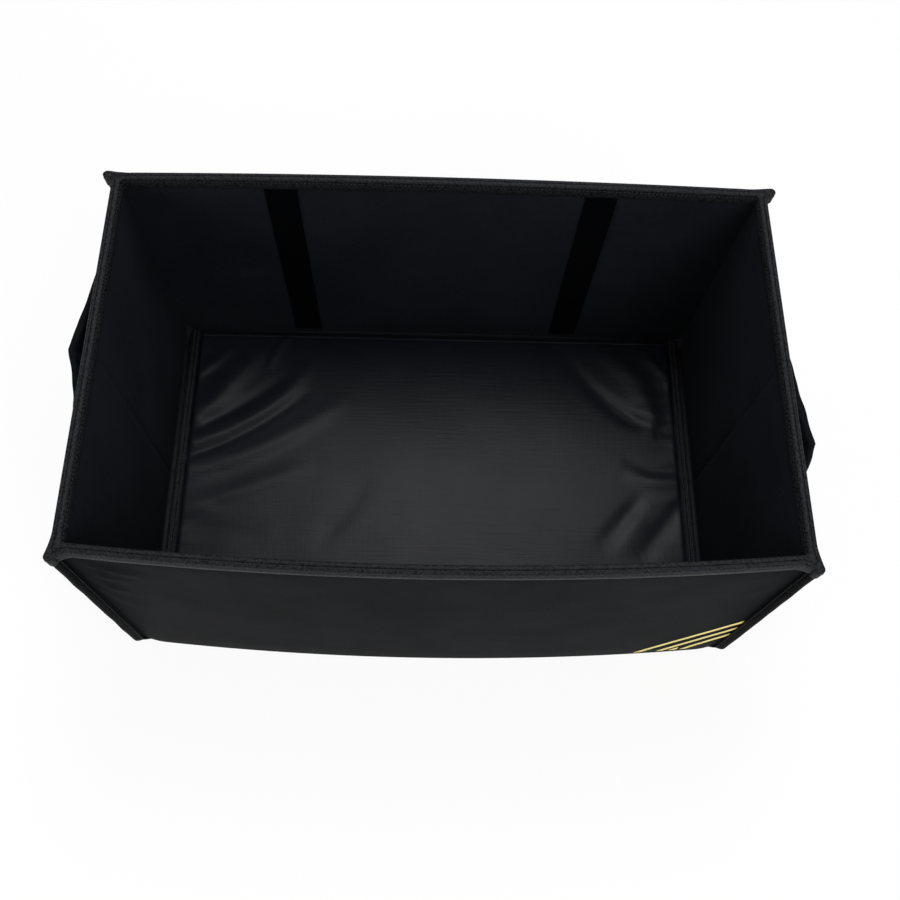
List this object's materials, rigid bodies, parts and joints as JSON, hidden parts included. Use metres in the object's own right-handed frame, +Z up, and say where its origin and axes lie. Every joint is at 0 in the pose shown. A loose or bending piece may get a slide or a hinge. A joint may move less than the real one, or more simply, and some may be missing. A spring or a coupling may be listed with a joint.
{
  "type": "car storage box",
  "caption": "Open-topped fabric car boot box with board-stiffened walls, bound seams, a loose floor insert and strap handles.",
  "frame": {"origin": "on the ground, under the middle of the box", "axes": "+X from the left short wall to the right one, along the length; -Y towards the front long wall; +Z up"},
  "size_m": [0.5499, 0.32, 0.2302],
  "materials": {
    "coated_fabric": "satin",
    "binding_tape": "satin",
    "lining_fabric": "matte",
    "grey_board": "matte",
    "sleeve_satin": "satin",
    "loop_pile": "matte"
  },
  "bodies": {
    "root": {"front_cover": "coated_fabric", "back_cover": "coated_fabric", "gusset_cover": "coated_fabric", "front_lining": "lining_fabric", "back_lining": "lining_fabric", "gusset_lining": "lining_fabric", "front_board": "grey_board", "back_board": "grey_board", "left_front_board": "grey_board", "left_rear_board": "grey_board", "right_front_board": "grey_board", "right_rear_board": "grey_board", "front_seam_binding": "binding_tape", "back_seam_binding": "binding_tape", "rim_binding": "binding_tape", "back_left_loop_tape": "loop_pile", "back_right_loop_tape": "loop_pile", "front_left_loop_tape": "loop_pile", "front_right_loop_tape": "loop_pile", "insert_board": "grey_board", "insert_cover": "sleeve_satin", "insert_left_hem": "binding_tape", "insert_right_hem": "binding_tape", "left_handle": "coated_fabric", "right_handle": "coated_fabric"}
  },
  "joints": []
}
